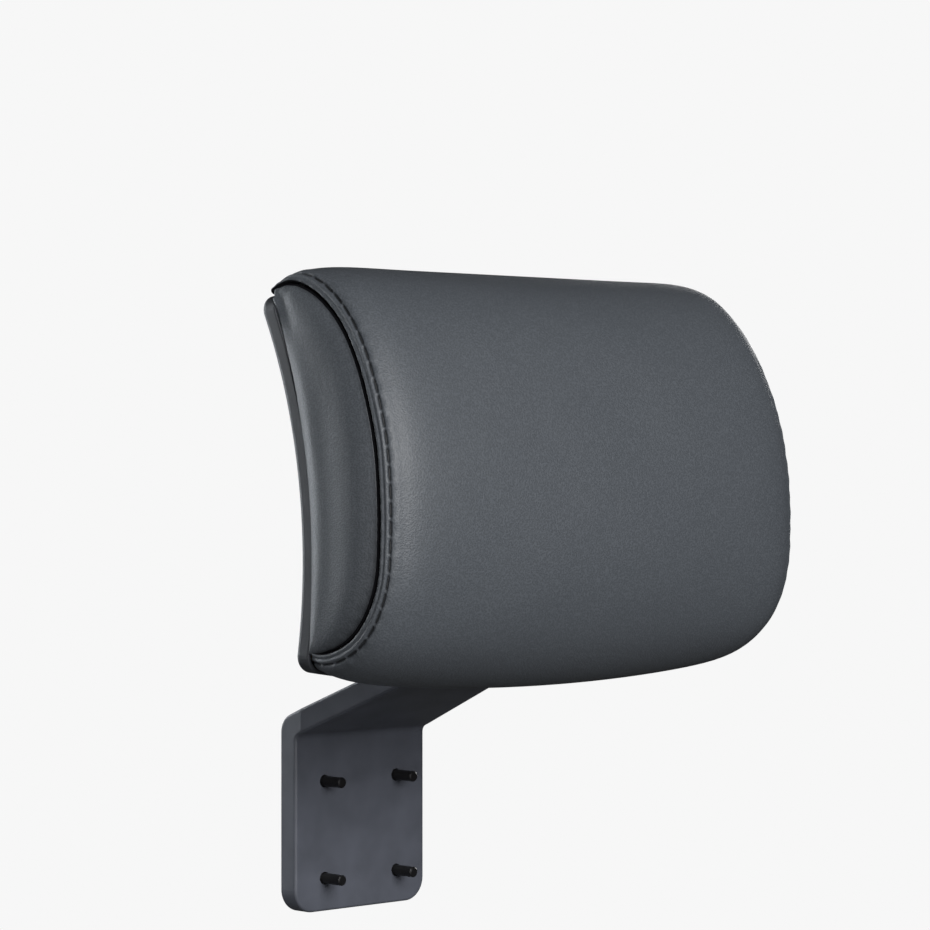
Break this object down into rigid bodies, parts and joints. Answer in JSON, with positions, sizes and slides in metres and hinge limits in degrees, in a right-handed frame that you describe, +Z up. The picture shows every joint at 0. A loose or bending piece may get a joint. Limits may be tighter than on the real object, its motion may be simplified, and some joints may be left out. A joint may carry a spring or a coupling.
{
  "type": "chair headrest attachment",
  "caption": "Upholstered headrest pad in a curved rear shell, on a friction tilt hinge and a slider that climbs the notched stem of an arm bolted behind a chair's back.",
  "frame": {"origin": "middle of the arm's four bolts, on the flat face that meets the back of the chair", "axes": "+Z up, -Y towards the sitter's head and along the bolts' shanks, X across the chair"},
  "size_m": [0.2838, 0.1998, 0.324],
  "materials": {
    "cover_leather": "soft grained polyurethane leather, slate grey",
    "foam": "open-cell moulded foam, matt",
    "board": "plain plywood",
    "shell_plastic": "fine moulded grain",
    "arm_metal": "fine-texture powder coat, slate black",
    "zinc_steel": "zinc plated",
    "black_steel": "black oxide",
    "bracket_steel": "black satin paint",
    "slider_plastic": "fine moulded grain",
    "acetal": "natural acetal, satin",
    "bronze": "sintered bronze",
    "spring_steel": "oiled spring steel"
  },
  "bodies": {
    "arm": {"mount_arm": "arm_metal", "stem_cap": "slider_plastic", "mounting_bolts": "black_steel", "bolt_washers": "black_steel"},
    "slider": {"slider_front": "slider_plastic", "slider_rear_cover": "slider_plastic", "cover_screws": "black_steel", "guide_liner_left": "acetal", "guide_liner_right": "acetal", "detent_spring": "spring_steel", "knuckle_bush_left": "bronze", "knuckle_bush_right": "bronze"},
    "headrest": {"front_cover": "cover_leather", "side_gusset_left": "cover_leather", "side_gusset_right": "cover_leather", "foam_core": "foam", "inner_board": "board", "tee_nuts": "zinc_steel", "cover_staples": "zinc_steel", "rear_shell": "shell_plastic", "shell_screws": "black_steel", "tilt_bracket": "bracket_steel", "bracket_screws": "black_steel", "hinge_pin": "zinc_steel", "disc_springs": "spring_steel", "lock_nut": "zinc_steel", "end_cap_left": "shell_plastic", "end_cap_right": "shell_plastic", "friction_washer_left": "acetal", "friction_washer_right": "acetal"}
  },
  "joints": [
    {"name": "height_slide", "type": "slide", "parent": "arm", "child": "slider", "axis": [0, 0, 1], "range_m": [0, 0.05], "deforming": ["detent_spring"]},
    {"name": "headrest_tilt", "type": "hinge", "parent": "slider", "child": "headrest", "pos_m": [0, -0.096, 0.132], "axis": [1, 0, 0], "range_deg": [-12, 25]}
  ]
}
